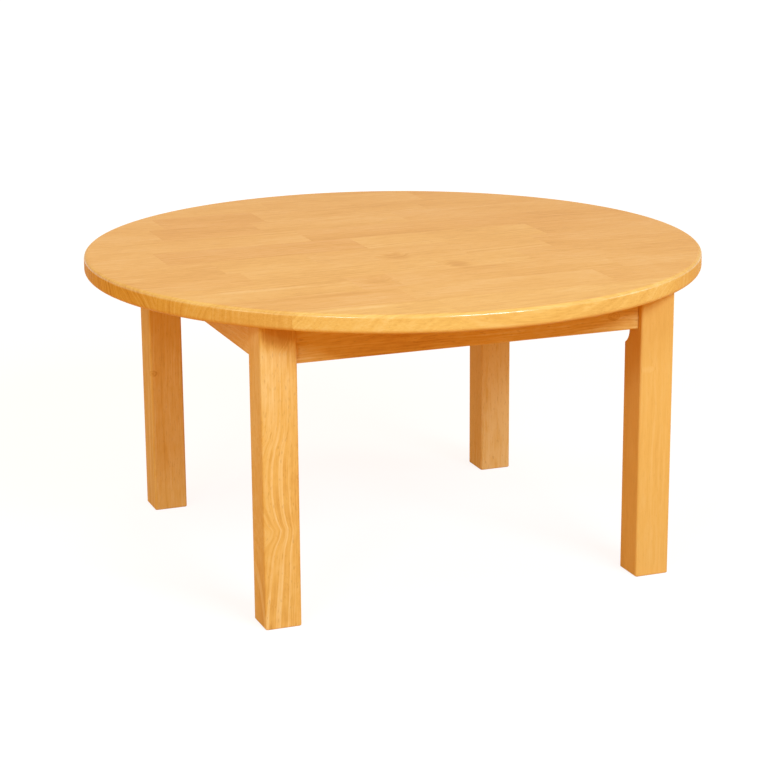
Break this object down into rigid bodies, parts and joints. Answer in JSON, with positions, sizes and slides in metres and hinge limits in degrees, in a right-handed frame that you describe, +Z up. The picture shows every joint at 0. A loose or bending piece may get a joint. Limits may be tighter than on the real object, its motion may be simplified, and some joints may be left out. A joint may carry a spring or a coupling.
{
  "type": "low table",
  "caption": "Round low table with square legs: board top with a rounded rim, set-back aprons, corner brackets and bolted legs.",
  "frame": {"origin": "on the floor under the table's centre", "axes": "+Z up, the front apron faces -Y, the right apron faces +X; the staves of the top run along X"},
  "size_m": [0.6999, 0.7, 0.35],
  "materials": {
    "tabletop_wood": "clear lacquered rubberwood, glued staves",
    "leg_wood": "clear lacquered rubberwood",
    "apron_wood": "clear lacquered rubberwood",
    "bracket_steel": "zinc plated pressed steel",
    "bolt_steel": "zinc plated",
    "screw_steel": "yellow zinc plated"
  },
  "bodies": {
    "root": {"tabletop": "tabletop_wood", "leg_back_right": "leg_wood", "leg_back_left": "leg_wood", "leg_front_left": "leg_wood", "leg_front_right": "leg_wood", "apron_front": "apron_wood", "apron_right": "apron_wood", "apron_back": "apron_wood", "apron_left": "apron_wood", "corner_bracket_back_right": "bracket_steel", "corner_bracket_back_left": "bracket_steel", "corner_bracket_front_left": "bracket_steel", "corner_bracket_front_right": "bracket_steel", "hanger_bolts_back_right": "bolt_steel", "hanger_bolts_back_left": "bolt_steel", "hanger_bolts_front_left": "bolt_steel", "hanger_bolts_front_right": "bolt_steel", "flat_washers_back_right": "bolt_steel", "flat_washers_back_left": "bolt_steel", "flat_washers_front_left": "bolt_steel", "flat_washers_front_right": "bolt_steel", "lock_washers_back_right": "bolt_steel", "lock_washers_back_left": "bolt_steel", "lock_washers_front_left": "bolt_steel", "lock_washers_front_right": "bolt_steel", "hex_nuts_back_right": "bolt_steel", "hex_nuts_back_left": "bolt_steel", "hex_nuts_front_left": "bolt_steel", "hex_nuts_front_right": "bolt_steel", "bracket_screws_back_right": "screw_steel", "bracket_screws_back_left": "screw_steel", "bracket_screws_front_left": "screw_steel", "bracket_screws_front_right": "screw_steel", "top_screws_front": "screw_steel", "top_screws_right": "screw_steel", "top_screws_back": "screw_steel", "top_screws_left": "screw_steel"}
  },
  "joints": []
}
